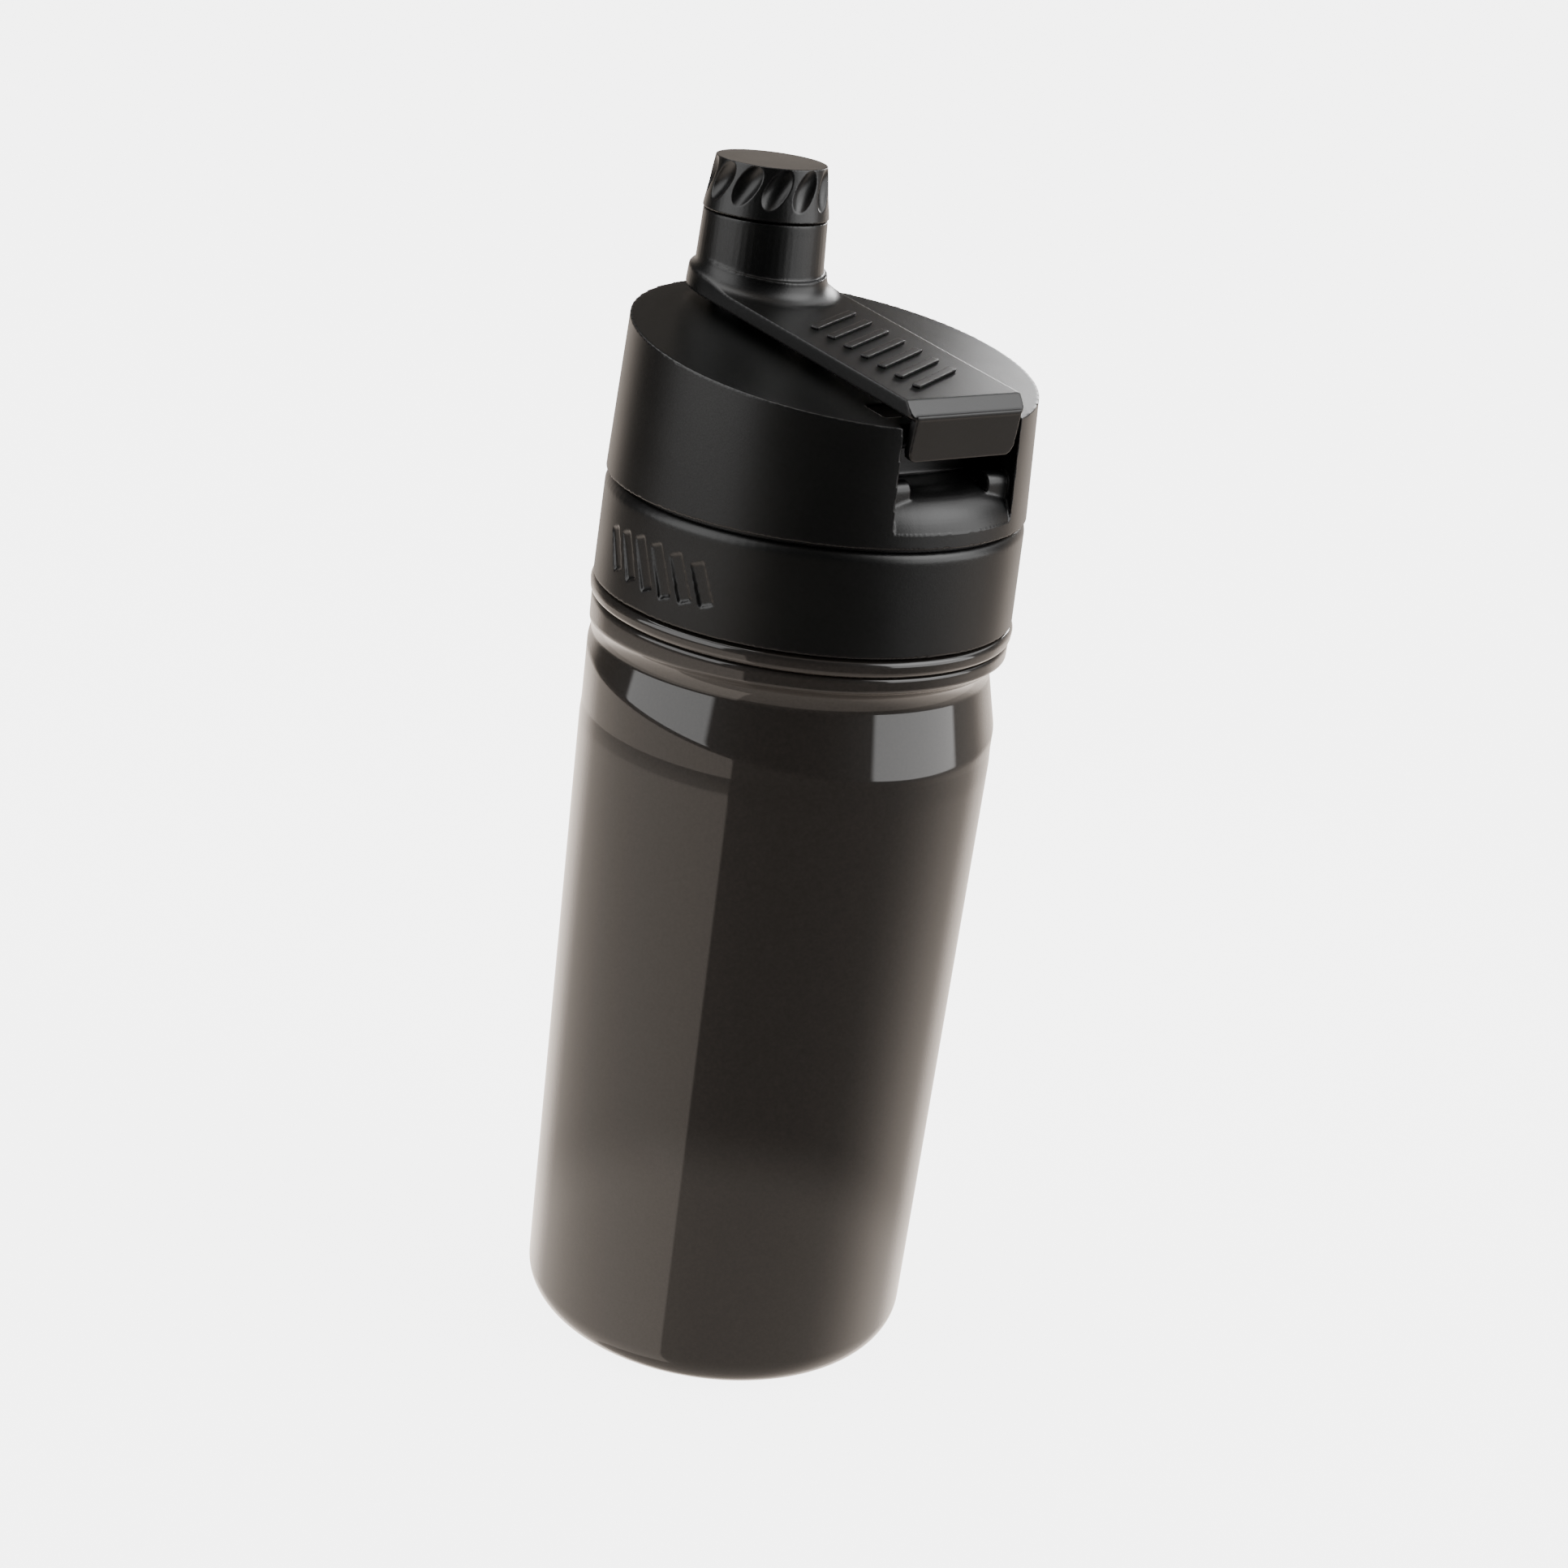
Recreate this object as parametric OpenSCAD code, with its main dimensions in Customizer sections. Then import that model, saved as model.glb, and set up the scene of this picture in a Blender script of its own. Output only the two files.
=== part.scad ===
// Protein shaker bottle with a screw lid, a flip arm and a twist cap.
// Frame: origin at the centre of the base, +Z up, hinge at the front (-Y), drinking neck at the back (+Y).

/* [Bottle] */
// Height of the body from the base to the underside of the bead
body_h = 162.8; // [130:1:210]
// How far the body stands proud of the lid's seam, on the radius
body_step = 0.3; // [0:0.05:0.6]
// How much smaller the body's radius is at its base
body_draft = 1.5; // [0.5:0.1:4]
// Wall of the body
body_wall = 2.2; // [1.8:0.1:2.6]
// Radius of the edge round the base
base_edge_r = 7.5; // [4:0.5:10]
// Height of the bead flange under the collar
bead_h = 3.6; // [3:0.1:5]
// Depth of the finger waist at the front
waist_d = 3.2; // [1:0.1:4]
// Height of the waist's deepest line below the bead
waist_drop = 8.4; // [7:0.2:12]

/* [Thread] */
// Distance from the lid's outside at the seam in to the bottle's neck
neck_step = 4.8; // [4.7:0.1:6]
// Rise of the lid in one turn
lid_pitch = 4.5; // [4:0.1:5]
// Height of a thread ridge above its wall
ridge_h = 1.4; // [1:0.1:1.6]
// Radial clearance between a ridge and the facing wall
ridge_gap = 0.6; // [0.4:0.05:0.8]

/* [Lid] */
// Height of the collar
collar_h = 22.2; // [21:0.2:30]
// Outer diameter of the lid at the seam
lid_d = 86; // [72:0.5:104]
// How much smaller the shell's radius is at its deck
deck_lean = 1.4; // [0.6:0.1:3]
// Height of the deck above the seam, on the lid's axis
deck_h = 28.2; // [25:0.2:34]
// Slope of the deck towards the front, in degrees
deck_slope = 7.2; // [4:0.2:9]
// Wall of the shell
shell_wall = 2; // [1.6:0.1:2.2]
// Gap at the seam and under the collar
seam_gap = 0.5; // [0.3:0.05:0.8]
// Number of slanted grip bars pressed into the collar
collar_bars = 6; // [3:1:9]

/* [Flip arm] */
// Width of the arm
arm_w = 29.9; // [28:0.1:34]
// Thickness of the arm's plate
arm_t = 3; // [2.4:0.1:4]
// Gap between the deck and the arm's plate
arm_gap = 2.1; // [1.6:0.1:3]
// Distance from the lid's outside at the seam in to the hinge pin
hinge_inset = 8; // [7.8:0.1:9]
// Diameter of the hinge pin
pin_d = 3; // [2:0.1:3.2]
// Running clearance round the hinge pin, on the radius
pin_gap = 0.05; // [0.02:0.01:0.1]
// Side gap between the hinge pocket and the arm
pocket_gap = 0.65; // [0.4:0.05:1.2]
// Offset of the hinge pocket to the right of the arm's middle
pocket_shift = 0.5; // [0:0.1:0.5]
// Number of raised ribs on the arm
arm_rib_n = 7; // [3:1:9]

/* [Neck and cap] */
// Distance from the lid's outside at the seam in to the neck's axis
neck_inset = 16.7; // [16.5:0.1:22]
// Bore of the drinking mouth
mouth_d = 11.4; // [9:0.1:14]
// Height of the neck from the deck to the cap's lower rim
neck_h = 19; // [15:0.2:28]
// Wall of the cap at its top, flutes left out
cap_wall = 2.7; // [2.2:0.1:4]
// How much wider the cap's lower rim is than its top, on the radius
cap_flare = 1.55; // [1:0.05:2.5]
// Height of the cap
cap_h = 10.5; // [9.5:0.1:16]
// Rise of the cap in one turn
cap_pitch = 3; // [2.6:0.1:3.4]
// Number of swirl flutes on the cap
flute_n = 12; // [8:1:14]

/* [Mixing grid] */
// Width of a grid opening
grid_hole = 7; // [5:0.2:9]
// Width of a grid rib
grid_rib = 2; // [1.6:0.1:3]

/* [Hidden] */
$fn = 96;

black = "#1c1b1b";
rubber = "#2c2c2d";
smoke = "#5b524b";
steel = "#b9bbbd";

face_gap = 0.12;                       // running gap between faces on different bodies
slope_k = tan(deck_slope);

// levels
bead_top = body_h + bead_h;
collar_z = bead_top + seam_gap;
seam_z = collar_z + collar_h;
step_z = seam_z - 0.3;                 // ledge of the inner lid that carries the shell
disc_z = seam_z - 1.6;                 // underside of the inner lid's disc
disc_t = 2;
rim_z = disc_z - 2.2;                  // top of the bottle's neck
thread_z = bead_top + 5.8;             // start of the bottle's ridge

// bottle
lid_r = lid_d / 2;
neck_r = lid_r - neck_step;             // outer radius of the neck between the ridges
top_r = lid_r + body_step;
base_r = top_r - body_draft;
bead_r = top_r + 0.5;
bead_edge = 1.2;
neck_in_r = neck_r - 2.2;
foot_r = base_r - base_edge_r;
punt_r = foot_r - 3.5;
punt_h = 4;
floor_t = 2.4;
punt_ball = (punt_r * punt_r + punt_h * punt_h) / (2 * punt_h);
waist_k = 0.225;                       // taper below the waist's deepest line
waist_r = 6.5;                         // run-out above it
waist_shift = waist_d / 2 + 0.05;      // the cutter stands this far back, so the waist fades at the rear

// lid
deck_r = lid_r - deck_lean;
collar_low_r = lid_r + 0.4;
cone_k = (lid_r - deck_r) / deck_h;
skirt_in_r = neck_r + ridge_h + ridge_gap;
skirt_r = skirt_in_r + 1.3;
spigot_r = lid_r - shell_wall - 0.35;
plug_r = neck_in_r - 0.8;
plug_t = 1.8;
plug_h = 7;
ridge_turns = 1.5;

// hinge, pocket and arm
hinge_y = lid_r - hinge_inset;
arm_half = arm_w / 2;
pocket_half = arm_half + pocket_gap;
cheek_t = 1.8;
hinge_z = seam_z + deck_h - hinge_y * slope_k - 2.5;
barrel_r = pin_d / 2 + 1.6;
barrel_half = arm_half - 5.2;
knuckle_gap = 0.35;
pin_in = cheek_t + 1;                   // depth of the pin's ends in the cheeks
boss_t = pin_in + 0.8;
pocket_back = hinge_y - 7.6;           // the pocket's back wall stands this far in front of the axis
ramp_r = 9.5;
ramp_h = 0.6;                          // height above the seam at which the pocket's floor curves in
ramp_mid = lid_r - ramp_r;
lug_r = 2.2;
lug_w = 5.4;
lug_z = ramp_h + ramp_r - 0.1;          // height of a lug's round top above the seam, at its axis
corner_r = 2;
front_v = hinge_y + 2.9;               // front edge of the arm's top, along the deck's slope
nose_v = front_v + arm_t;              // lower edge of its chamfer
flap_half = arm_half - 1.2;
flap_h = 9;
flap_t = 1.8;
flap_lean = 7;                         // degrees
flap_corner = 2.2;

// drinking path
mouth_r = mouth_d / 2;
tube_r = mouth_r + 1.8;
spout_bore_r = mouth_r - 0.1;
spout_foot_r = spout_bore_r + 1.4;
seal_in_r = spout_bore_r + 1.3;
seal_out_r = seal_in_r + 1.6;
seal_drop = 0.7;
spout_r = seal_out_r + 0.9;
spout_over = 1;                        // height of the spout above the deck
cap_ridge = 0.8;
cap_in_r = tube_r + cap_ridge + 0.45;
cap_top_r = cap_in_r + cap_wall;
cap_r = cap_top_r + cap_flare;
cap_top_t = 1.7;
cap_gap = 0.4;
cap_turns = 1;
liner_t = 1.2;
neck_y = lid_r - neck_inset;
neck_r1 = cap_r - 0.2;
neck_r0 = neck_r1 + 0.7;
neck_wall = 2.2;
neck_fillet = 4;
tube_foot_r = neck_r1 - neck_wall - 0.6;
tube_foot_t = 2;
shoulder_t = 2;
vent_y = 4;
vent_r = 2;
deck_at_neck = deck_h + neck_y * slope_k;
cap_z = deck_at_neck + neck_h;
tube_top = cap_z + cap_h - cap_top_t - liner_t - 2 * face_gap;
neck_v = neck_y / cos(deck_slope);
vent_v = vent_y / cos(deck_slope);

module at_seam() translate([0, 0, seam_z]) children();

// frame of the sloping deck: z = 0 is the deck's top
module deck_frame() at_seam() translate([0, 0, deck_h]) rotate([deck_slope, 0, 0]) children();

// all that lies above the deck plane, shifted along its normal
module above_deck(lift) deck_frame() translate([-80, -80, lift]) cube([160, 160, 120]);

// upright rod on the neck's axis, heights from the seam
module neck_rod(r, z0, z1) at_seam() translate([0, neck_y, z0]) cylinder(h = z1 - z0, r = r);

// rod along the hinge axis
module hinge_rod(r, x0, x1) translate([x0, -hinge_y, hinge_z]) rotate([0, 90, 0]) cylinder(h = x1 - x0, r = r);

// the same on one side only, between two distances from the middle
module hinge_span(r, side, near, far) hinge_rod(r, side > 0 ? near : -far, side > 0 ? far : -near);

// the lid's leaning wall as a full cone grown by g, heights from the seam
module lid_cone(g, z0, z1) at_seam() translate([0, 0, z0])
  cylinder(h = z1 - z0, r1 = lid_r - cone_k * z0 + g, r2 = lid_r - cone_k * z1 + g);

// one ring of a thread ridge: foot at radius r0, crest at radius r1
function ridge_ring(a, z, r0, r1, w0, w1) = [
  [r0 * cos(a), r0 * sin(a), z - w0 / 2],
  [r1 * cos(a), r1 * sin(a), z - w1 / 2],
  [r1 * cos(a), r1 * sin(a), z + w1 / 2],
  [r0 * cos(a), r0 * sin(a), z + w0 / 2]];

// the ridge rises over its first steps and falls over its last
function fade(i, n, k) = min(1, (i + 0.3) / k, (n - i + 0.3) / k);

// helical thread ridge, swept in steps round the axis
module ridge(z0, pitch, turns, r0, r1, w0, w1, steps) {
  n = round(turns * steps);
  rings = [for (i = [0:n]) ridge_ring(360 * i / steps, z0 + pitch * i / steps,
                                      r0, r0 + (r1 - r0) * fade(i, n, steps / 9), w0, w1)];
  sides = [for (i = [0:n - 1]) for (j = [0:3])
    let (a = 4 * i + j, b = 4 * i + (j + 1) % 4)
    for (t = [[a, b, b + 4], [a, b + 4, a + 4]]) t];
  e = 4 * n;
  tris = concat(sides, [[2, 1, 0], [3, 2, 0], [e, e + 1, e + 2], [e, e + 2, e + 3]]);
  polyhedron(points = [for (g = rings) for (p = g) p],
             faces = [for (t = tris) r1 < r0 ? [t[2], t[1], t[0]] : t], convexity = 8);
}

// cutter of the finger waist: a cone below the deepest line and a round run-out above it
module waist_cut(g) {
  r0 = top_r - waist_d + waist_shift - g;
  run = 2 * waist_d / waist_k;
  translate([0, waist_shift, body_h - waist_drop]) rotate_extrude() {
    polygon([[r0, 0], [r0 + run * waist_k, -run], [r0 + 3 * waist_r, -run], [r0 + 3 * waist_r, 0]]);
    translate([r0 + waist_r, 0]) circle(r = waist_r);
  }
}

module body_outline() {
  polygon([[0, 0], [foot_r, 0], [foot_r, base_edge_r], [base_r, base_edge_r], [top_r, body_h - 0.8],
           [top_r - 0.8, body_h], [bead_r - bead_edge, body_h], [bead_r - bead_edge, bead_top],
           [neck_r, bead_top], [neck_r, rim_z], [0, rim_z]]);
  translate([foot_r, base_edge_r]) circle(r = base_edge_r);
  translate([neck_r - 1, body_h + bead_edge]) square([bead_r - neck_r + 1, bead_h - 2 * bead_edge]);
  for (z = [body_h + bead_edge, bead_top - bead_edge]) translate([bead_r - bead_edge, z]) circle(r = bead_edge);
}

module body_hollow() {
  r0 = base_r - body_wall;
  r1 = top_r - body_wall;
  edge = base_edge_r - body_wall;
  z1 = body_h - 6;
  rotate_extrude() {
    polygon([[0, floor_t], [r0 - edge, floor_t], [r0 - edge, floor_t + edge], [r0, floor_t + edge],
             [r1, z1 - (r1 - neck_in_r)], [neck_in_r, z1], [neck_in_r, rim_z + 1], [0, rim_z + 1]]);
    translate([r0 - edge, floor_t + edge]) circle(r = edge);
  }
}

module bottle_body() color(smoke, 0.6) {
  difference() {
    rotate_extrude() body_outline();
    waist_cut(0);
    difference() {
      body_hollow();
      waist_cut(body_wall);
      translate([0, 0, punt_h - punt_ball]) sphere(r = punt_ball + floor_t);
    }
    translate([0, 0, punt_h - punt_ball]) sphere(r = punt_ball);
  }
  ridge(thread_z, lid_pitch, ridge_turns, neck_r - 0.4, neck_r + ridge_h, 2.4, 0.9, 36);
}

module lid_seal() color(rubber) translate([0, 0, rim_z + face_gap / 2]) rotate_extrude() difference() {
  translate([neck_in_r - 0.3, 0]) square([neck_r - neck_in_r + 1.1, disc_z - rim_z - face_gap]);
  translate([neck_r + 0.8, (disc_z - rim_z - face_gap) / 2]) circle(r = 0.5);
}

// threaded inner lid: a disc with a skirt outside the bottle's neck and a plug ring inside it
module inner_lid() color(black) {
  difference() {
    union() {
      translate([0, 0, collar_z + 1.4]) cylinder(h = step_z - collar_z - 1.4, r = skirt_r);
      translate([0, 0, disc_z]) cylinder(h = disc_t, r = spigot_r);
      neck_rod(spout_foot_r + 2.6, -1, 3);
    }
    translate([0, 0, collar_z]) cylinder(h = disc_z - collar_z, r = skirt_in_r);
    neck_rod(spout_foot_r, -5, 10);
    translate([0, vent_y, disc_z - 1]) cylinder(h = disc_t + 2, r = vent_r);
  }
  translate([0, 0, disc_z - plug_h]) difference() {
    cylinder(h = plug_h + 0.5, r = plug_r);
    translate([0, 0, -1]) cylinder(h = plug_h + 3, r = plug_r - plug_t);
  }
  ridge(thread_z - lid_pitch / 2, lid_pitch, ridge_turns, skirt_in_r + 0.4, skirt_in_r - ridge_h, 2.4, 0.9, 36);
}

// outer sleeve of the lid, with a round shoulder under the seam and a fan of slanted grip bars
module lid_collar() {
  top = step_z - seam_gap - collar_z;
  edge = min(2.4, lid_r - skirt_r + 0.8);
  mid = (collar_bars - 1) / 2;
  color(black) difference() {
    translate([0, 0, collar_z]) rotate_extrude() difference() {
      union() {
        polygon([[0, 0], [collar_low_r, 0], [lid_r, top - edge], [lid_r - edge, top - edge],
                 [lid_r - edge, top], [0, top]]);
        translate([lid_r - edge, top - edge]) circle(r = edge);
      }
      translate([0, 1.3]) square([skirt_r, collar_h]);
      square([skirt_in_r + 0.2, 3]);
    }
    for (i = [0:collar_bars - 1])
      rotate([0, 0, 184 - 6.8 * (i - mid)])
        translate([lid_r + 0.65, 0, collar_z + collar_h * 0.44]) rotate([22, 0, 0])
          cube([1.6, 3.1, collar_h * (0.5 - 0.045 * abs(i - mid))], center = true);
  }
}

// all that lies under the pocket's round floor, shrunk by g
module ramp_solid(g) at_seam() rotate_extrude() {
  translate([0, -3]) square([ramp_mid, ramp_h + ramp_r - g + 3]);
  translate([0, -3]) square([ramp_mid + ramp_r - g, ramp_h + 3]);
  translate([ramp_mid, ramp_h]) circle(r = ramp_r - g);
}

// inner face of a cheek, on one side
function cheek_x(side) = pocket_shift + side * pocket_half;

module pocket_box(grow, low) translate([cheek_x(-1) - grow, -lid_r - 10, seam_z + low])
  cube([2 * (pocket_half + grow), lid_r + 10 - pocket_back + grow, deck_h + 20]);

// stop lug at the foot of a cheek
module lug(side) at_seam()
  translate([cheek_x(side) - (side > 0 ? lug_w : 1), -hinge_y - 0.4, lug_z]) {
    rotate([0, 90, 0]) cylinder(h = lug_w + 1, r = lug_r);
    translate([0, -lug_r, -6]) cube([lug_w + 1, 2 * lug_r, 6]);
  }

// leaning shell with its deck, and the hinge pocket at the front
module lid_shell() color(black) difference() {
  union() {
    difference() {
      lid_cone(0, step_z - seam_z, deck_h + 12);
      above_deck(0);
      difference() {
        lid_cone(-shell_wall, -5, deck_h + 12);
        above_deck(-shell_wall);
      }
    }
    difference() {
      intersection() {
        lid_cone(-shell_wall / 2, 0, deck_h + 12);
        union() {
          pocket_box(cheek_t, 0.2);
          hinge_rod(barrel_r, cheek_x(-1) - boss_t, cheek_x(1) + boss_t);
        }
      }
      above_deck(-shell_wall / 2);
      ramp_solid(shell_wall);
    }
  }
  difference() {
    pocket_box(0, 0);
    ramp_solid(0);
    for (s = [-1, 1]) {
      hinge_span(barrel_r, s, barrel_half + knuckle_gap, s * cheek_x(s) + 1);
      lug(s);
    }
  }
  pin_rod();
  neck_rod(spout_r + 0.3, 5, 60);
  at_seam() translate([0, vent_y, 5]) cylinder(h = 40, r = vent_r + 0.5);
}

// drinking spout: a tube from the inner lid to just above the deck
module drink_spout() color(black) difference() {
  union() {
    neck_rod(spout_r, 3, deck_at_neck + 6);
    neck_rod(spout_foot_r - 0.05, -1.6, 4);
  }
  above_deck(spout_over);
  neck_rod(spout_bore_r, -3, deck_at_neck + 8);
  deck_frame() translate([0, neck_v, spout_over - seal_drop]) rotate_extrude()
    translate([seal_in_r, 0]) square([seal_out_r - seal_in_r, 3]);
  at_seam() translate([0, neck_y, 0]) rotate_extrude() translate([spout_foot_r - 1.1, 0]) square([3, 1.2]);
}

module spout_o_ring() color(rubber) at_seam() translate([0, neck_y, 0.6]) rotate_extrude()
  translate([spout_foot_r - 0.55, 0]) circle(r = 0.54);

// face seal between the spout and the arm
module spout_seal() color(rubber) deck_frame() translate([0, neck_v, spout_over - seal_drop]) rotate_extrude() {
  top = arm_gap - face_gap - spout_over + seal_drop;
  polygon([[seal_in_r, 0], [seal_out_r, 0], [seal_out_r, top - 0.4], [seal_out_r - 0.4, top],
           [seal_in_r + 0.4, top], [seal_in_r, top - 0.4]]);
}

// strainer that breaks up lumps: a ring with a square lattice
module mixing_grid() {
  out_r = plug_r - plug_t - 0.05;
  step = grid_hole + grid_rib;
  n = floor((out_r - 2) / step - 0.5);
  color(black) translate([0, 0, disc_z - plug_h + 0.6]) {
    difference() {
      cylinder(h = 4, r = out_r);
      translate([0, 0, -1]) cylinder(h = 6, r = out_r - 1.8);
    }
    intersection() {
      cylinder(h = 1.8, r = out_r - 1);
      for (i = [-n - 1:n]) {
        translate([-out_r, (i + 0.5) * step - grid_rib / 2, 0]) cube([2 * out_r, grid_rib, 1.8]);
        translate([(i + 0.5) * step - grid_rib / 2, -out_r, 0]) cube([grid_rib, 2 * out_r, 1.8]);
      }
    }
  }
}

module pin_rod() hinge_rod(pin_d / 2, cheek_x(-1) - pin_in, cheek_x(1) + pin_in);

module hinge_pin() color(steel) pin_rod();

// plan of the arm with its front edge at v and its front corners rounded by r
module arm_plan(v, r) {
  translate([-arm_half, -v + r]) square([arm_w, neck_v + v - r]);
  translate([-arm_half + r, -v]) square([arm_w - 2 * r, 2 * r]);
  for (x = [-arm_half + r, arm_half - r]) translate([x, -v + r]) circle(r = r);
  translate([0, neck_v]) circle(r = max(arm_half, neck_r0 + 1.4));
}

// front flap that hangs from the arm's nose and covers the pocket
module flap() deck_frame() translate([0, -nose_v + 0.1, arm_gap + 0.3]) rotate([-deck_slope + flap_lean, 0, 0])
  translate([0, flap_t, 0]) rotate([90, 0, 0]) linear_extrude(flap_t) {
    r = flap_corner;
    translate([-flap_half, -flap_h + r]) square([2 * flap_half, flap_h - r + 0.3]);
    translate([-flap_half + r, -flap_h]) square([2 * (flap_half - r), flap_h]);
    for (x = [-flap_half + r, flap_half - r]) translate([x, -flap_h + r]) circle(r = r);
  }

// the arm's plate, with a chamfer across its nose
module arm_plate() deck_frame() difference() {
  translate([0, 0, arm_gap]) linear_extrude(arm_t) arm_plan(nose_v, corner_r);
  translate([-arm_w, -nose_v, arm_gap]) rotate([45, 0, 0]) translate([0, -arm_t, 0])
    cube([2 * arm_w, 4 * arm_t, 2 * arm_t]);
}

// outside of the arm's neck: an upright cone
module arm_neck() at_seam() translate([0, neck_y, deck_at_neck + arm_gap + 1])
  cylinder(h = neck_h - cap_gap - arm_gap - 1, r1 = neck_r0, r2 = neck_r1);

// fillet from the sloping plate up to the neck
module neck_foot() deck_frame() translate([0, neck_v, arm_gap + arm_t - 0.2]) rotate_extrude() {
  f = neck_fillet;
  polygon(concat([[neck_r1 - 1, 0], [neck_r0 + f, 0]],
    [for (a = [0:10:90]) [neck_r0 - 0.1 + f * (1 - sin(a)), 0.2 + f * (1 - cos(a))]],
    [[neck_r1 - 1, f + 0.2]]));
}

module flip_arm() color(black) difference() {
  union() {
    arm_plate();
    flap();
    intersection() {
      union() {
        arm_neck();
        neck_foot();
      }
      deck_frame() linear_extrude(40) arm_plan(nose_v, corner_r);
    }
    hinge_rod(barrel_r, -barrel_half, barrel_half);
    translate([-barrel_half, -hinge_y - barrel_r, hinge_z]) cube([2 * barrel_half, 2 * barrel_r, barrel_r + 2]);
    translate([-barrel_half, -hinge_y - barrel_r - 1, hinge_z - 1.5]) cube([2 * barrel_half, 3, 4]);
  }
  hinge_rod(pin_d / 2 + pin_gap, -barrel_half - 1, barrel_half + 1);
  for (s = [-1, 1]) hinge_span(barrel_r + knuckle_gap, s, barrel_half, pocket_half + 1);
  neck_rod(neck_r1 - neck_wall, deck_at_neck - 5, cap_z - cap_gap - shoulder_t);
  neck_rod(tube_r, 30, cap_z + 1);
  deck_frame() translate([0, vent_v, arm_gap - 1]) cylinder(h = 3.2, r = vent_r - 0.6);
}

// drinking tube inside the arm's neck: a foot that meets the spout's seal, and the thread for the cap
module mouthpiece() {
  color(black) difference() {
    union() {
      neck_rod(tube_r, deck_at_neck, tube_top);
      neck_rod(tube_foot_r, deck_at_neck, deck_at_neck + arm_gap + tube_foot_t + tube_foot_r * slope_k);
    }
    difference() {
      neck_rod(tube_foot_r + 5, deck_at_neck - 5, deck_at_neck + 20);
      above_deck(arm_gap);
    }
    neck_rod(mouth_r, deck_at_neck - 5, tube_top + 1);
  }
  color(black) translate([0, neck_y, 0])
    ridge(seam_z + cap_z + 2.9, cap_pitch, cap_turns, tube_r - 0.3, tube_r + cap_ridge, 1.7, 0.6, 30);
}

// raised slanted ribs on the arm's top
module arm_ribs() {
  step = 5.2;
  color(black) deck_frame() for (i = [0:arm_rib_n - 1])
    translate([0, -front_v + 9 + step * i, arm_gap + arm_t]) rotate([0, 0, 24])
      translate([-arm_half * 0.58, -0.9, 0]) cube([arm_half * 1.16, 1.8, 0.6]);
}

// soft plug under the arm that closes the vent
module vent_plug() color(rubber) deck_frame() translate([0, vent_v, 0]) {
  translate([0, 0, arm_gap]) cylinder(h = 2.2, r = vent_r - 0.6);
  translate([0, 0, 0.7]) cylinder(h = arm_gap - 0.7, r = vent_r + 1.3);
  translate([0, 0, -1.4]) cylinder(h = 2.6, r = vent_r);
}

// twist cap with swirl flutes from its top to a plain lower band
module twist_cap() {
  flute_r = 2.7;
  flute_deep = 0.85;
  flute_ring = 7;                       // a flute is cut by a ring of this radius, so that it fades at both ends
  flute_drop = 3.4;
  flute_lean = 34;
  top = seam_z + cap_z + cap_h;
  color(black) {
    translate([0, neck_y, 0]) difference() {
      translate([0, 0, seam_z + cap_z]) cylinder(h = cap_h, r1 = cap_r, r2 = cap_top_r);
      translate([0, 0, seam_z + cap_z - 1]) cylinder(h = cap_h + 1 - cap_top_t, r = cap_in_r);
      for (i = [0:flute_n - 1]) rotate([0, 0, 360 * i / flute_n])
        translate([cap_top_r + flute_ring + flute_r - flute_deep, 0, top - flute_drop])
          rotate([90 - flute_lean, 0, 0]) rotate_extrude() translate([flute_ring, 0]) circle(r = flute_r);
    }
    translate([0, neck_y, 0])
      ridge(seam_z + cap_z + 2.9 - cap_pitch / 2, cap_pitch, cap_turns, cap_in_r + 0.3, cap_in_r - cap_ridge,
            1.7, 0.6, 30);
  }
}

module cap_liner() color(rubber) neck_rod(cap_in_r - 0.3, tube_top + face_gap, tube_top + face_gap + liner_t);

bottle_body();
lid_seal();
inner_lid();
lid_collar();
lid_shell();
drink_spout();
spout_o_ring();
spout_seal();
mixing_grid();
hinge_pin();
flip_arm();
mouthpiece();
arm_ribs();
vent_plug();
twist_cap();
cap_liner();
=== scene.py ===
import math

import bpy
import numpy as np
from mathutils import Matrix, Vector


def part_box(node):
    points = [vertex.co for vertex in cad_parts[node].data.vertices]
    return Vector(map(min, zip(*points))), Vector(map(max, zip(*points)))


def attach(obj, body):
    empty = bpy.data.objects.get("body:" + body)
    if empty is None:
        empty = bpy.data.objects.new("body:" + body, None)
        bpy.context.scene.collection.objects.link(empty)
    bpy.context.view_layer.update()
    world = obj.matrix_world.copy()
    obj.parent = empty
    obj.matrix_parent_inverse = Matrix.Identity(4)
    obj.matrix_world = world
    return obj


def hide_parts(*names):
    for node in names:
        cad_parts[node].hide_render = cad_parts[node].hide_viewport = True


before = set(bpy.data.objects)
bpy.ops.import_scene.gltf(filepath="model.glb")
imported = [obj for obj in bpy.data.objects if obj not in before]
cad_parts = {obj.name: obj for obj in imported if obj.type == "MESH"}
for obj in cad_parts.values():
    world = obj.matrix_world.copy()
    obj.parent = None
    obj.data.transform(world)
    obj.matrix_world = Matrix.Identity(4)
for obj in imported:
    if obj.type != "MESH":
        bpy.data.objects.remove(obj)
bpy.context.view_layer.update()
scene = bpy.context.scene
mm = 0.001
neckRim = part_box("bottle_body")[1].z / mm    # top of the bottle's neck in mm
print("frame loaded:", len(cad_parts), "nodes")


def hexColour(code):
    # sRGB hex to the linear values that the sockets want
    parts = [int(code[i:i + 2], 16) / 255 for i in (1, 3, 5)]
    return [c / 12.92 if c <= 0.04045 else ((c + 0.055) / 1.055) ** 2.4 for c in parts] + [1.0]


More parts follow.
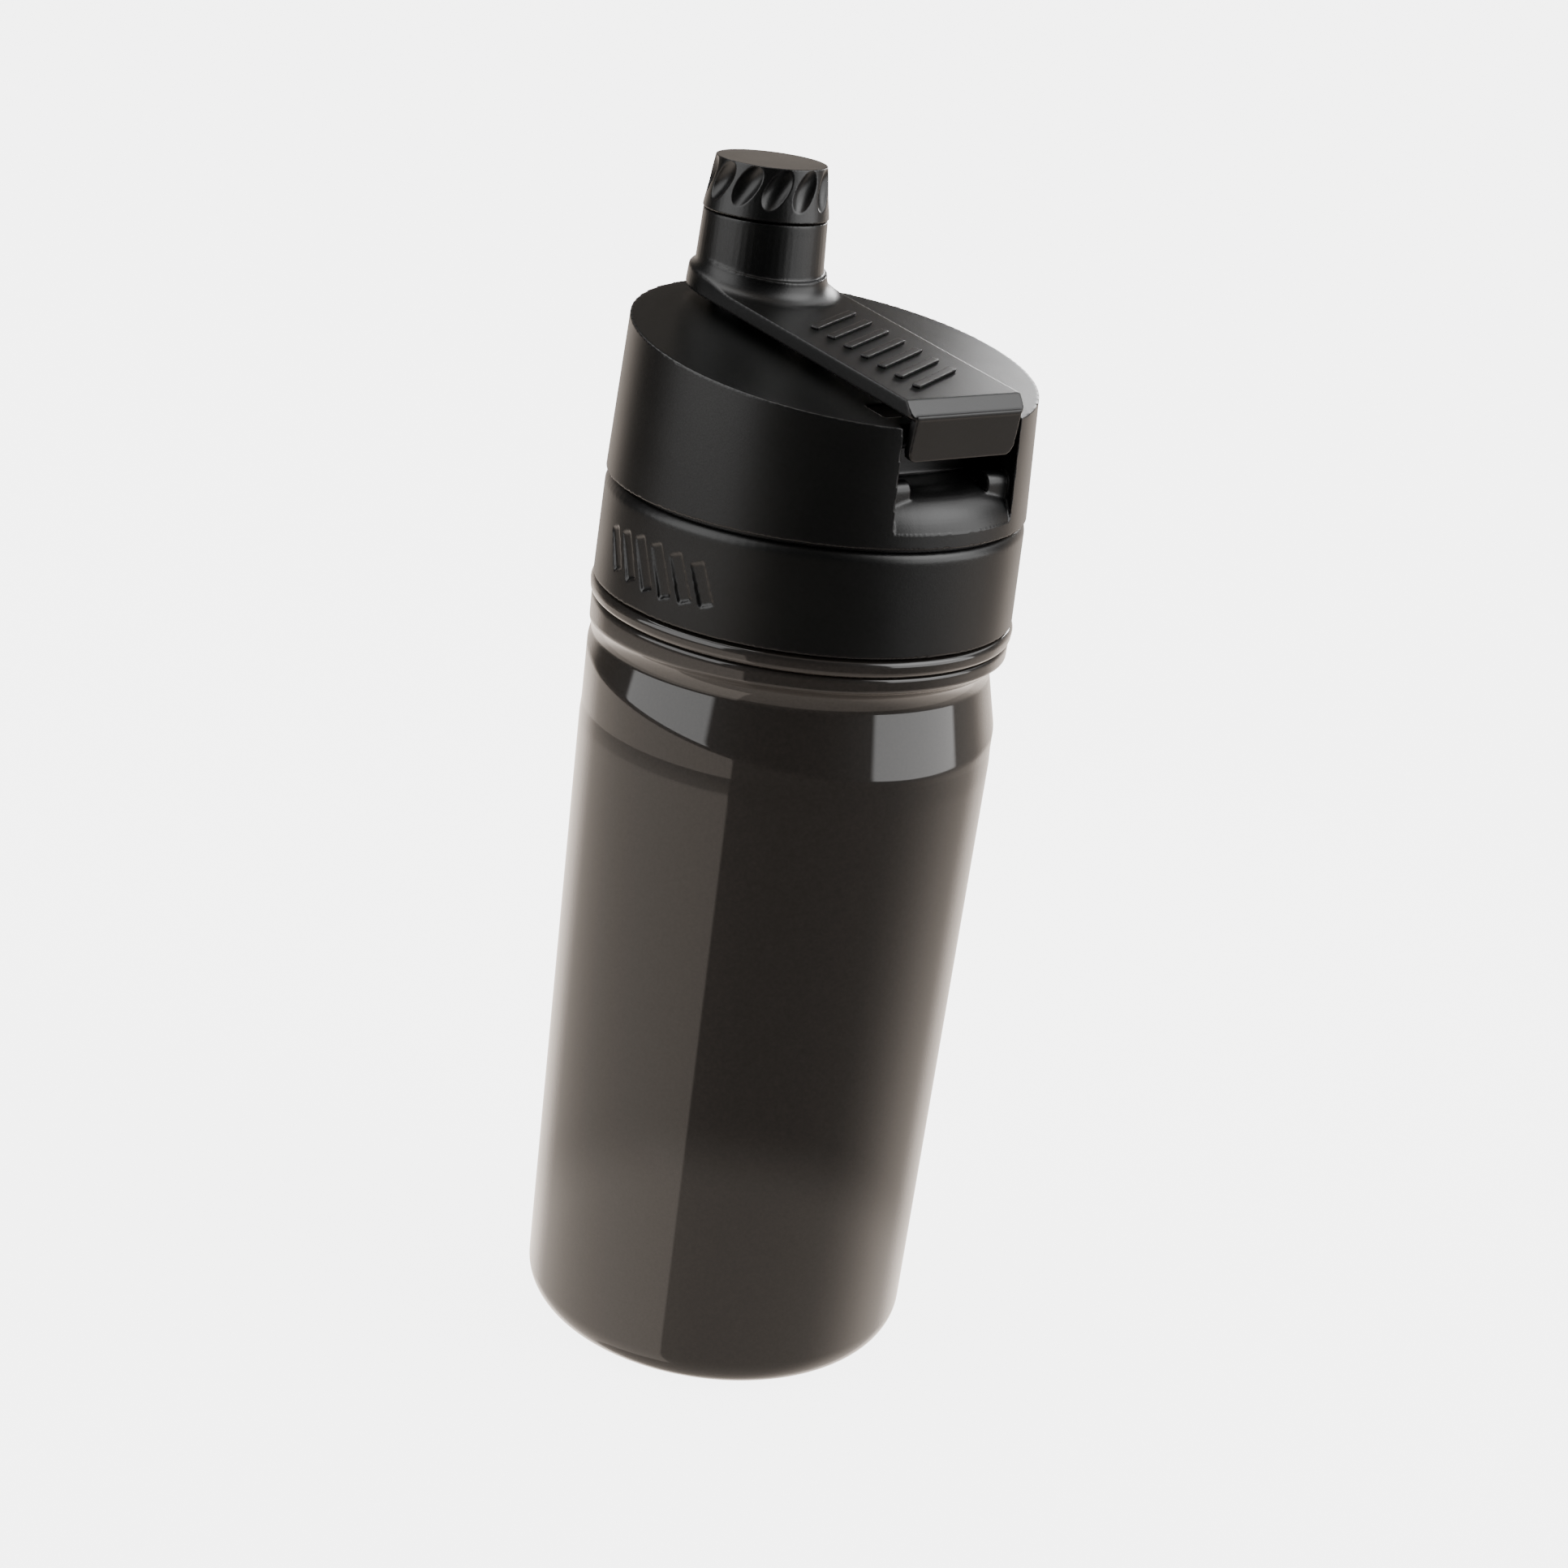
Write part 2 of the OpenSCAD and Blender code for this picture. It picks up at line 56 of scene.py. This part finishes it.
def addNode(tree, kind, settings=None, links=None):
    made = tree.nodes.new(kind)
    for key, value in (settings or {}).items():
        if isinstance(key, str) and hasattr(made, key):
            setattr(made, key, value)
        else:
            made.inputs[key].default_value = value
    for key, source in (links or {}).items():
        tree.links.new(source, made.inputs[key])
    return made


def newMaterial(name):
    material = bpy.data.materials.new(name)
    material.use_nodes = True
    material.node_tree.nodes.clear()
    return material, material.node_tree


def rampBetween(tree, factor, lowAt, highAt, lowColour, highColour):
    ramp = addNode(tree, "ShaderNodeValToRGB", links={"Fac": factor})
    ends = ramp.color_ramp.elements
    ends[0].position, ends[1].position = lowAt, highAt
    ends[0].color, ends[1].color = lowColour, highColour
    return ramp


# the camera stands at the front left and looks slightly down
cameraView = {
    "place": (-377.3, -417.67, 334.5),       # mm
    "azimuth": 42.23,                        # degrees, turned from +Y towards +X
    "elevation": -20.51,
    "roll": 7.58,
    "lens": 65.22,
    "sensor": 36,
}


def placeCamera(v):
    turn, tilt, roll = (math.radians(v[k]) for k in ("azimuth", "elevation", "roll"))
    ahead = Vector((math.sin(turn) * math.cos(tilt), math.cos(turn) * math.cos(tilt), math.sin(tilt)))
    side = ahead.cross(Vector((0, 0, 1))).normalized()
    above = side.cross(ahead)
    right = side * math.cos(roll) + above * math.sin(roll)
    up = above * math.cos(roll) - side * math.sin(roll)
    eye = bpy.data.objects.new("camera", bpy.data.cameras.new("camera"))
    eye.data.lens, eye.data.sensor_width = v["lens"], v["sensor"]
    eye.data.clip_end = 50
    turned = Matrix((right, up, -ahead)).transposed().to_4x4()
    eye.matrix_world = Matrix.Translation(Vector(v["place"]) * mm) @ turned
    scene.collection.objects.link(eye)
    scene.camera = eye


placeCamera(cameraView)

# studio: a pale floor and soft panels round the object
# azimuths are counted from the front of the room, where the camera stands, and grow to the right
studio = {
    "floor": "#b0b0b0",
    "floorSize": 30,                         # m
    "floorGlow": 5.0,
    "around": 0.004,                         # how bright the room is away from the panels
    "front": -132,                           # where the front is, from +X towards +Y, in degrees
    # each panel: strength, azimuths, elevations, softness of the edges in degrees
    "coolPanels": {
        "left": (2.8, (-92, -38), (-6, 55), 2),
        "right": (3.4, (52, 107), (-6, 55), 2),
        "rightHigh": (2.2, (60, 150), (26, 60), 6),
    },
    "warmPanels": {
        "leftTable": (1.05, (-181, -26), (-60, -18.5), 1.0),
        "low": (0.62, (-180, 180), (-95, -29.4), 0.8),
        "rightTable": (1.0, (88, 181), (-60, -10), 28),
        "behindLeft": (1.3, (-181, -137), (-60, 12), 12),
        "behindRight": (1.0, (137, 181), (-60, 12), 12),
        "above": (0.5, (-181, 181), (66, 95), 8),
    },
    "warmth": "#fff1e4",
    "backdrop": 3.0,                         # plain white that only the camera sees
}


def softStep(tree, value, edge, soft):
    return addNode(tree, "ShaderNodeMapRange", {"interpolation_type": "SMOOTHSTEP", "From Min": edge - soft,
                                                "From Max": edge + soft}, {"Value": value}).outputs[0]


def maths(tree, operation, a, b):
    made = addNode(tree, "ShaderNodeMath", {"operation": operation})
    for i, v in enumerate((a, b)):
        if hasattr(v, "is_output"):
            tree.links.new(v, made.inputs[i])
        else:
            made.inputs[i].default_value = v
    return made.outputs[0]


def panelMask(tree, azimuth, elevation, aRange, eRange, soft):
    # 1 inside a rectangle of the room, with soft edges
    inside = 1.0
    for value, (start, end) in ((azimuth, aRange), (elevation, eRange)):
        if start > -180:
            inside = maths(tree, "MULTIPLY", inside, softStep(tree, value, start, soft))
        if end < 180:
            fall = maths(tree, "SUBTRACT", 1.0, softStep(tree, value, end, soft))
            inside = maths(tree, "MULTIPLY", inside, fall)
    return inside


def lightRoom(s):
    world = bpy.data.worlds.new("studio")
    world.use_nodes = True
    scene.world = world
    tree = world.node_tree
    tree.nodes.clear()
    direction = addNode(tree, "ShaderNodeTexCoord").outputs["Generated"]
    turned = addNode(tree, "ShaderNodeVectorRotate",
                     {"rotation_type": "Z_AXIS", "Angle": -math.radians(s["front"])}, {"Vector": direction})
    xyz = addNode(tree, "ShaderNodeSeparateXYZ", links={0: turned.outputs[0]})
    toDegrees = 180 / math.pi
    azimuth = maths(tree, "MULTIPLY", maths(tree, "ARCTAN2", xyz.outputs[1], xyz.outputs[0]), toDegrees)
    elevation = maths(tree, "MULTIPLY", maths(tree, "ARCSINE", xyz.outputs[2], 0.0), toDegrees)
    sums = []
    for group, start in (("coolPanels", s["around"]), ("warmPanels", 0.0)):
        total = start
        for strength, aRange, eRange, soft in s[group].values():
            mask = panelMask(tree, azimuth, elevation, aRange, eRange, soft)
            total = maths(tree, "ADD", total, maths(tree, "MULTIPLY", strength, mask))
        sums.append(total)
    cool = addNode(tree, "ShaderNodeBackground", {"Color": (1, 1, 1, 1)}, {"Strength": sums[0]})
    warm = addNode(tree, "ShaderNodeBackground", {"Color": hexColour(s["warmth"])}, {"Strength": sums[1]})
    lit = addNode(tree, "ShaderNodeAddShader", links={0: cool.outputs[0], 1: warm.outputs[0]})
    seen = addNode(tree, "ShaderNodeLightPath").outputs["Is Camera Ray"]
    plain = addNode(tree, "ShaderNodeBackground", {"Color": (1, 1, 1, 1), "Strength": s["backdrop"]})
    mixed = addNode(tree, "ShaderNodeMixShader", links={0: seen, 1: lit.outputs[0], 2: plain.outputs[0]})
    addNode(tree, "ShaderNodeOutputWorld", links={"Surface": mixed.outputs[0]})


def layFloor(s):
    half = s["floorSize"] / 2
    mesh = bpy.data.meshes.new("floor")
    corners = [(-half, -half, 0), (half, -half, 0), (half, half, 0), (-half, half, 0)]
    mesh.from_pydata(corners, [], [(0, 1, 2, 3)])
    floor = bpy.data.objects.new("floor", mesh)
    scene.collection.objects.link(floor)
    floor.visible_glossy = False
    paint, tree = newMaterial("floorPaint")
    shader = addNode(tree, "ShaderNodeBsdfPrincipled", {"Base Color": hexColour(s["floor"]), "Roughness": 0.9,
                                                        "Emission Color": (1, 1, 1, 1),
                                                        "Emission Strength": s["floorGlow"]})
    addNode(tree, "ShaderNodeOutputMaterial", links={"Surface": shader.outputs[0]})
    mesh.materials.append(paint)


def hangLamp(name, place, aim, size, power):
    # place and aim in mm, size in mm, power in watts
    lamp = bpy.data.objects.new(name, bpy.data.lights.new(name, "AREA"))
    lamp.data.shape, lamp.data.size, lamp.data.size_y = "RECTANGLE", size[0] * mm, size[1] * mm
    lamp.data.energy = power
    lamp.location = Vector(place) * mm
    lamp.rotation_euler = (Vector(aim) - Vector(place)).to_track_quat("-Z", "Y").to_euler()
    lamp.visible_camera = False
    scene.collection.objects.link(lamp)


lightRoom(studio)
layFloor(studio)
hangLamp("topLamp", (-100, 500, 1300), (0, 0, 150), (900, 900), 8)
hangLamp("backRightLamp", (350, 184, 300), (20, 0, 210), (140, 115), 0.6)
print("studio ready")


def surfaceGrain(tree, grain, depth, place, detail=2.0):
    # bump of a given grain size in mm; depth in mm
    noise = addNode(tree, "ShaderNodeTexNoise",
                    {"Scale": 1 / (grain * mm), "Detail": detail, "Roughness": 0.6}, {"Vector": place})
    bump = addNode(tree, "ShaderNodeBump", {"Strength": 1.0, "Distance": depth * mm},
                   {"Height": noise.outputs["Fac"]})
    return noise, bump


# grain sizes and depths in mm
lidFinish = {
    "tones": ("#020202", "#040404"), "grain": 0.38, "depth": 0.014,
    "patch": 14, "rough": (0.31, 0.38), "ior": 1.49,
}
bottleFinish = {
    "tones": ("#0d0b09", "#120f0d"), "mottle": 0.6, "flow": 30, "flowDepth": 0.05, "flowStrength": 0.25,
}
siliconeFinish = {"tones": ("#232324", "#2e2e30"), "grain": 0.6, "depth": 0.008, "rough": 0.62, "bloom": 0.2}
pinFinish = {
    "tone": "#c9cacb", "scratch": (0.15, 3, 3), "depth": 0.004, "strength": 0.4, "rough": (0.22, 0.38),
}
toneSpread = (0.3, 0.7)                      # where in the noise the darker and the lighter tone begin


def mouldedPolypropylene(name, f):
    # black polypropylene from a spark-eroded mould: matte satin, with soft grainy highlights
    material, tree = newMaterial(name)
    place = addNode(tree, "ShaderNodeTexCoord").outputs["Object"]
    noise, bump = surfaceGrain(tree, f["grain"], f["depth"], place, 3.0)
    patch = addNode(tree, "ShaderNodeTexNoise", {"Scale": 1 / (f["patch"] * mm), "Detail": 3.0},
                    {"Vector": place})
    tint = rampBetween(tree, noise.outputs["Fac"], *toneSpread, *(hexColour(c) for c in f["tones"]))
    rough = addNode(tree, "ShaderNodeMapRange", {"To Min": f["rough"][0], "To Max": f["rough"][1]},
                    {"Value": patch.outputs["Fac"]})
    shader = addNode(tree, "ShaderNodeBsdfPrincipled", {"IOR": f["ior"]},
                     {"Base Color": tint.outputs["Color"], "Roughness": rough.outputs[0],
                      "Normal": bump.outputs[0]})
    addNode(tree, "ShaderNodeOutputMaterial", links={"Surface": shader.outputs[0]})
    return material


def smokeCopolyester(name, f):
    # smoke-tinted copolyester, blown in a polished mould: glossy outside, with light scattered in the wall
    material, tree = newMaterial(name)
    place = addNode(tree, "ShaderNodeTexCoord").outputs["Object"]
    mottle = addNode(tree, "ShaderNodeTexNoise", {"Scale": 1 / (f["mottle"] * mm), "Detail": 2.0},
                     {"Vector": place})
    flow = addNode(tree, "ShaderNodeTexNoise", {"Scale": 1 / (f["flow"] * mm), "Detail": 2.0},
                   {"Vector": place})
    tint = rampBetween(tree, mottle.outputs["Fac"], *toneSpread, *(hexColour(c) for c in f["tones"]))
    bump = addNode(tree, "ShaderNodeBump", {"Strength": f["flowStrength"], "Distance": f["flowDepth"] * mm},
                   {"Height": flow.outputs["Fac"]})
    shader = addNode(tree, "ShaderNodeBsdfPrincipled", {
        "IOR": 1.57, "Specular IOR Level": 0.15, "Roughness": 0.5,
        "Coat Weight": 1.0, "Coat Roughness": 0.03, "Coat IOR": 1.5,
        "Sheen Weight": 0.1, "Sheen Roughness": 0.3, "Sheen Tint": hexColour("#e8d3bf")},
        {"Base Color": tint.outputs["Color"], "Coat Normal": bump.outputs[0]})
    addNode(tree, "ShaderNodeOutputMaterial", links={"Surface": shader.outputs[0]})
    return material


def softSilicone(name, f):
    # moulded silicone: soft matte with a dusty bloom
    material, tree = newMaterial(name)
    place = addNode(tree, "ShaderNodeTexCoord").outputs["Object"]
    noise, bump = surfaceGrain(tree, f["grain"], f["depth"], place)
    tint = rampBetween(tree, noise.outputs["Fac"], *toneSpread, *(hexColour(c) for c in f["tones"]))
    shader = addNode(tree, "ShaderNodeBsdfPrincipled",
                     {"IOR": 1.41, "Roughness": f["rough"], "Sheen Weight": f["bloom"]},
                     {"Base Color": tint.outputs["Color"], "Normal": bump.outputs[0]})
    addNode(tree, "ShaderNodeOutputMaterial", links={"Surface": shader.outputs[0]})
    return material


def groundSteel(name, f):
    # ground stainless steel: fine scratches round the pin
    material, tree = newMaterial(name)
    place = addNode(tree, "ShaderNodeTexCoord").outputs["Object"]
    stretched = addNode(tree, "ShaderNodeMapping", {"Scale": tuple(1 / (w * mm) for w in f["scratch"])},
                        {"Vector": place})
    noise = addNode(tree, "ShaderNodeTexNoise", {"Scale": 1.0, "Detail": 2.0},
                    {"Vector": stretched.outputs[0]})
    rough = addNode(tree, "ShaderNodeMapRange", {"To Min": f["rough"][0], "To Max": f["rough"][1]},
                    {"Value": noise.outputs["Fac"]})
    bump = addNode(tree, "ShaderNodeBump", {"Strength": f["strength"], "Distance": f["depth"] * mm},
                   {"Height": noise.outputs["Fac"]})
    shader = addNode(tree, "ShaderNodeBsdfPrincipled", {"Base Color": hexColour(f["tone"]), "Metallic": 1.0},
                     {"Roughness": rough.outputs[0], "Normal": bump.outputs[0]})
    addNode(tree, "ShaderNodeOutputMaterial", links={"Surface": shader.outputs[0]})
    return material


lidPlastic = mouldedPolypropylene("mouldedPolypropylene", lidFinish)
bottlePlastic = smokeCopolyester("smokeCopolyester", bottleFinish)
silicone = softSilicone("mouldedSilicone", siliconeFinish)
pinSteel = groundSteel("groundSteel", pinFinish)
print("materials ready")


def finishNode(node, material):
    # a carried-over CAD node gets the real finish in every slot
    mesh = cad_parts[node].data
    mesh.materials.clear()
    mesh.materials.append(material)


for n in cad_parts:
    finishNode(n, lidPlastic)
for n in ("lid_seal", "spout_o_ring", "spout_seal", "vent_plug", "cap_liner"):
    finishNode(n, silicone)
finishNode("hinge_pin", pinSteel)


def addPiece(name, points, faces, material, body, nodes, smooth=True):
    mesh = bpy.data.meshes.new(name)
    mesh.from_pydata([tuple(p) for p in points], [], faces)
    mesh.validate()
    mesh.materials.append(material)
    mesh.polygons.foreach_set("use_smooth", [smooth] * len(mesh.polygons))
    mesh.update()
    piece = bpy.data.objects.new(name, mesh)
    scene.collection.objects.link(piece)
    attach(piece, body)
    if nodes:
        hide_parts(*nodes)
    return piece


weldReach = 0.002                            # mm
relaxFactor = 0.5


def softened(node, name, cell, passes, body, material, trim=None):
    # the node's solid with the small round edges that a mould gives: fine cells, then relaxed. cell in mm
    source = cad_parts[node]
    mesh = source.data.copy()
    work = bpy.data.objects.new("work", mesh)
    scene.collection.objects.link(work)
    weld = work.modifiers.new("weld", "WELD")
    weld.merge_threshold = weldReach * mm
    remesh = work.modifiers.new("cells", "REMESH")
    remesh.mode, remesh.voxel_size, remesh.adaptivity = "VOXEL", cell * mm, 0
    relax = work.modifiers.new("relax", "SMOOTH")
    relax.factor, relax.iterations = relaxFactor, passes
    ready = work.evaluated_get(bpy.context.evaluated_depsgraph_get())
    made = bpy.data.meshes.new_from_object(ready)
    bpy.data.objects.remove(work)
    made.name = name
    if trim:
        points = np.empty(len(made.vertices) * 3)
        made.vertices.foreach_get("co", points)
        points = trim(points.reshape(-1, 3) / mm) * mm
        made.vertices.foreach_set("co", points.ravel())
    made.materials.clear()
    made.materials.append(material)
    made.polygons.foreach_set("use_smooth", [True] * len(made.polygons))
    made.update()
    piece = bpy.data.objects.new(name, made)
    scene.collection.objects.link(piece)
    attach(piece, body)
    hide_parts(node)
    print(name, len(made.vertices), "points")
    return piece


def snapRound(radiusAt, reach):
    # points within reach of a round wall go exactly onto it, so that it carries clean highlights
    def trim(p):
        r = np.hypot(p[:, 0], p[:, 1])
        want = radiusAt(p[:, 2])
        k = np.where(np.abs(r - want) < reach, want / np.maximum(r, 1e-6), 1.0)
        out = p.copy()
        out[:, 0] *= k
        out[:, 1] *= k
        return out
    return trim


# sizes of the bottle in mm
bottle = {
    "topR": 43.3, "baseR": 41.8, "bodyH": 162.8,
    "baseEdge": 7.5, "dish": 4.0, "dishR": 30.8, "dishEdge": 1.2,
    "beadR": 43.8, "beadH": 3.6, "beadEdge": 1.2,
    "neckR": 38.2, "wall": 2.2, "neckWall": 2.2, "floor": 2.4,
    "waistDeep": 3.2, "waistDrop": 8.4, "waistTaper": 0.225, "waistRound": 6.5, "waistBlend": 0.12,
    "threadStart": 172.2, "threadPitch": 4.5, "threadTurns": 1.5,
    "ridge": 1.4, "ridgeSink": 0.4, "ridgeWidths": (2.4, 0.9),
    "around": 288,
}


def arc(cx, cz, r, start, end, steps):
    # round stretch of an outline, angles in degrees
    return [(cx + r * math.cos(math.radians(a)), cz + r * math.sin(math.radians(a)))
            for a in np.linspace(start, end, steps)]


def between(a, b, steps):
    return [(a[0] + (b[0] - a[0]) * t, a[1] + (b[1] - a[1]) * t) for t in np.linspace(0, 1, steps)][1:-1]


def softLeast(a, b, k):
    # the smaller of two lengths, with a round blend of about k mm where they meet
    h = np.clip(0.5 + 0.5 * (b - a) / k, 0, 1)
    return b + (a - b) * h - k * h * (1 - h)


def waistRadius(b, angle, z, grow):
    # how far the waist's cutter lets the wall reach at each angle
    shift = b["waistDeep"] / 2 + 0.05
    lineZ = b["bodyH"] - b["waistDrop"]
    r0 = b["topR"] - b["waistDeep"] + shift - grow
    d = z - lineZ
    rise = np.clip(d, 0, b["waistRound"])
    above = r0 + b["waistRound"] - np.sqrt(np.maximum(b["waistRound"] ** 2 - rise ** 2, 0))
    cutter = np.where(d < 0, r0 - d * b["waistTaper"], above)
    cutter = np.where(d >= b["waistRound"], cutter + (d - b["waistRound"]) * 8, cutter)
    return shift * np.sin(angle) + np.sqrt(np.maximum(cutter ** 2 - (shift * np.cos(angle)) ** 2, 1))


def bottleOutline(b):
    footR = b["baseR"] - b["baseEdge"]
    bead0 = b["bodyH"]
    bead1 = bead0 + b["beadH"]
    e = b["beadEdge"]
    ball = (b["dishR"] ** 2 + b["dish"] ** 2) / (2 * b["dish"])
    dish = [(r, b["dish"] - ball + math.sqrt(ball ** 2 - r * r))
            for r in np.linspace(0.4, b["dishR"] - 0.5, 14)]
    rim = (b["dishR"] + b["dishEdge"], 0)
    outer = dish + [(b["dishR"] + 0.3, 0.05), rim] + between(rim, (footR, 0), 4)
    outer += arc(footR, b["baseEdge"], b["baseEdge"], -90, 0, 18)
    outer += between((b["baseR"], b["baseEdge"]), (b["topR"], bead0 - 24), 50)
    outer += between((b["topR"] - 0.2, bead0 - 24), (b["topR"], bead0 - 0.8), 66)
    outer += arc(b["topR"] - 0.7, bead0 - 0.7, 0.7, 0, 80, 5)
    outer += arc(b["beadR"] - e - 0.45, bead0 - 0.1, 0.3, 180, 90, 4)
    outer += arc(b["beadR"] - e, bead0 + e + 0.1, e - 0.1, -80, 0, 7)
    outer += arc(b["beadR"] - e, bead1 - e, e, 0, 90, 8)
    outer += [(b["neckR"] + 0.6, bead1), (b["neckR"] + 0.15, bead1 + 0.15), (b["neckR"], bead1 + 0.6)]
    outer += between((b["neckR"], bead1 + 0.6), (b["neckR"], neckRim - 0.6), 8)
    outer += arc(b["neckR"] - 0.6, neckRim - 0.6, 0.6, 0, 90, 5)
    inR = b["neckR"] - b["neckWall"]
    inner = arc(inR + 0.5, neckRim - 0.5, 0.5, 90, 180, 5)
    step = bead0 - 6
    inner += between((inR, neckRim - 0.5), (inR, step), 8)
    topIn, baseIn = b["topR"] - b["wall"], b["baseR"] - b["wall"]
    edge = b["baseEdge"] - b["wall"]
    inner += between((inR, step + 0.001), (topIn, step - (topIn - inR)), 8)
    inner += between((topIn, step - (topIn - inR)), (baseIn, b["floor"] + edge), 60)
    inner += arc(baseIn - edge, b["floor"] + edge, edge, 0, -90, 12)
    inner += [(r, b["floor"] + max(0.0, b["dish"] - ball + math.sqrt(ball ** 2 - r * r)))
              for r in np.linspace(b["dishR"], 0.4, 14)]
    return outer, inner


def turnBottle(b):
    outer, inner = bottleOutline(b)
    outline = np.array(outer + inner)
    n = b["around"]
    angles = np.linspace(0, 2 * math.pi, n, endpoint=False)
    rows = []
    for i, (r, z) in enumerate(outline):
        grow = 0 if i < len(outer) else b["wall"]
        reach = np.full(n, r)
        if b["bodyH"] - 40 < z < b["bodyH"] and r > b["topR"] - 5:
            reach = softLeast(reach, waistRadius(b, angles, z, grow), b["waistBlend"])
        rows.append(np.stack([reach * np.cos(angles), reach * np.sin(angles), np.full(n, z)], 1))
    points = np.concatenate(rows) * mm
    faces = [(i * n + j, i * n + (j + 1) % n, (i + 1) * n + (j + 1) % n, (i + 1) * n + j)
             for i in range(len(rows) - 1) for j in range(n)]
    faces.append(tuple(reversed(range(n))))
    last = (len(rows) - 1) * n
    faces.append(tuple(range(last, last + n)))
    return points, faces


def threadRidge(start, pitch, turns, foot, crest, widths, steps=96):
    # a helical ridge that rises and fades at its ends; lengths in mm
    count = int(turns * steps)
    points = []
    for i in range(count + 1):
        a = 2 * math.pi * i / steps
        z = start + pitch * i / steps
        grow = min(1, (i + 0.3) / (steps / 9), (count - i + 0.3) / (steps / 9))
        tip = foot + (crest - foot) * grow
        footHalf, tipHalf = widths[0] / 2, widths[1] / 2
        for r, h in ((foot, -footHalf), (tip, -tipHalf), (tip, tipHalf), (foot, footHalf)):
            points.append((r * math.cos(a) * mm, r * math.sin(a) * mm, (z + h) * mm))
    faces = [(4 * i + j, 4 * i + (j + 1) % 4, 4 * i + 4 + (j + 1) % 4, 4 * i + 4 + j)
             for i in range(count) for j in range(4)]
    end = 4 * count
    faces += [(3, 2, 1, 0), (end, end + 1, end + 2, end + 3)]
    return points, faces


points, faces = turnBottle(bottle)
addPiece("bottleBody", points, faces, bottlePlastic, "bottle", ["bottle_body"])
points, faces = threadRidge(bottle["threadStart"], bottle["threadPitch"], bottle["threadTurns"],
                            bottle["neckR"] - bottle["ridgeSink"], bottle["neckR"] + bottle["ridge"],
                            bottle["ridgeWidths"])
addPiece("bottleThread", points, faces, bottlePlastic, "bottle", [], smooth=False)
print("bottle ready")

# round walls of the lid in mm; reach is how near a point must be to be drawn onto the wall
shellWall = {"seamR": 43.0, "deckR": 41.6, "deckH": 28.2, "sunk": 0.3, "reach": 0.14}
collarWall = {"lowR": 43.4, "topR": 43.0, "topEdge": 2.4, "reach": 0.05}
collarLow, collarHigh = (c.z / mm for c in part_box("lid_collar"))
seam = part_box("lid_shell")[0].z / mm + shellWall["sunk"]


def shellRadius(z):
    return shellWall["seamR"] - (shellWall["seamR"] - shellWall["deckR"]) / shellWall["deckH"] * (z - seam)


def collarRadius(z):
    top = collarHigh - collarWall["topEdge"]
    t = np.clip((z - collarLow) / (top - collarLow), 0, 1)
    return np.where(z < top, collarWall["lowR"] + (collarWall["topR"] - collarWall["lowR"]) * t, 999)


softened("lid_shell", "lidShell", 0.26, 5, "lid", lidPlastic,
         snapRound(shellRadius, shellWall["reach"]))
softened("lid_collar", "lidCollar", 0.26, 4, "lid", lidPlastic,
         snapRound(collarRadius, collarWall["reach"]))
softened("flip_arm", "flipArm", 0.21, 5, "arm", lidPlastic)
softened("twist_cap", "twistCap", 0.17, 4, "cap", lidPlastic)
softened("arm_ribs", "armRibs", 0.15, 2, "arm", lidPlastic)
print("lid ready")
